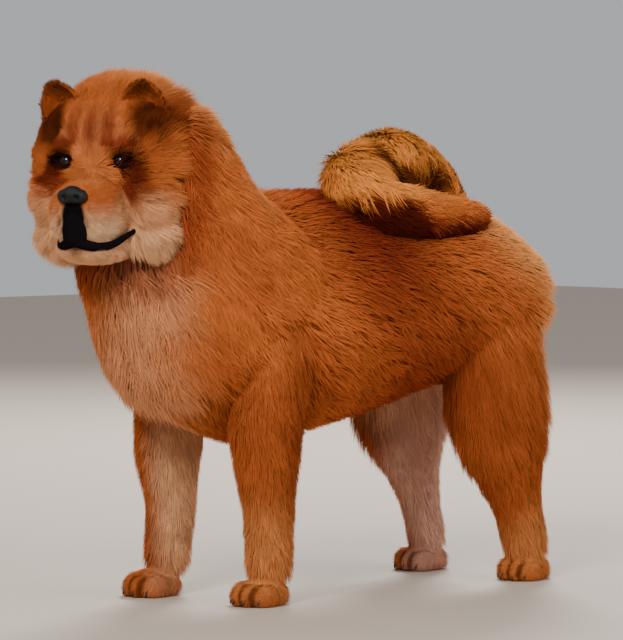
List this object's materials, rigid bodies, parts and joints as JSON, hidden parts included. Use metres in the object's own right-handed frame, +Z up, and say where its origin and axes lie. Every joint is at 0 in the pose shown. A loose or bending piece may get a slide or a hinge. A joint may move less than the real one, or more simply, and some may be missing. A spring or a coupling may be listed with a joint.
{
  "type": "chow chow",
  "caption": "Standing chow chow with a full ruff, curled tail and turned head, as a still life-size model",
  "frame": {"origin": "on the floor, under the middle of the whole dog's box", "axes": "+Z up; the dog looks along -Y and its left side is +X"},
  "size_m": [0.3234, 0.8724, 0.6867],
  "materials": {
    "coat": "red long coat",
    "ear": "short dark fur",
    "nose": "moist black leather",
    "eye": "wet dark brown"
  },
  "bodies": {
    "root": {"ear_left": "ear", "ear_right": "ear", "eye_left": "eye", "eye_right": "eye", "front_leg_left": "coat", "front_leg_right": "coat", "front_paw_left": "coat", "front_paw_right": "coat", "head": "coat", "hind_paw_left": "coat", "hind_paw_right": "coat", "hock_left": "coat", "hock_right": "coat", "lower_jaw": "coat", "mane": "coat", "nose": "nose", "tail_root": "coat", "tail_tip": "coat", "thigh_left": "coat", "thigh_right": "coat", "torso": "coat"}
  },
  "joints": []
}
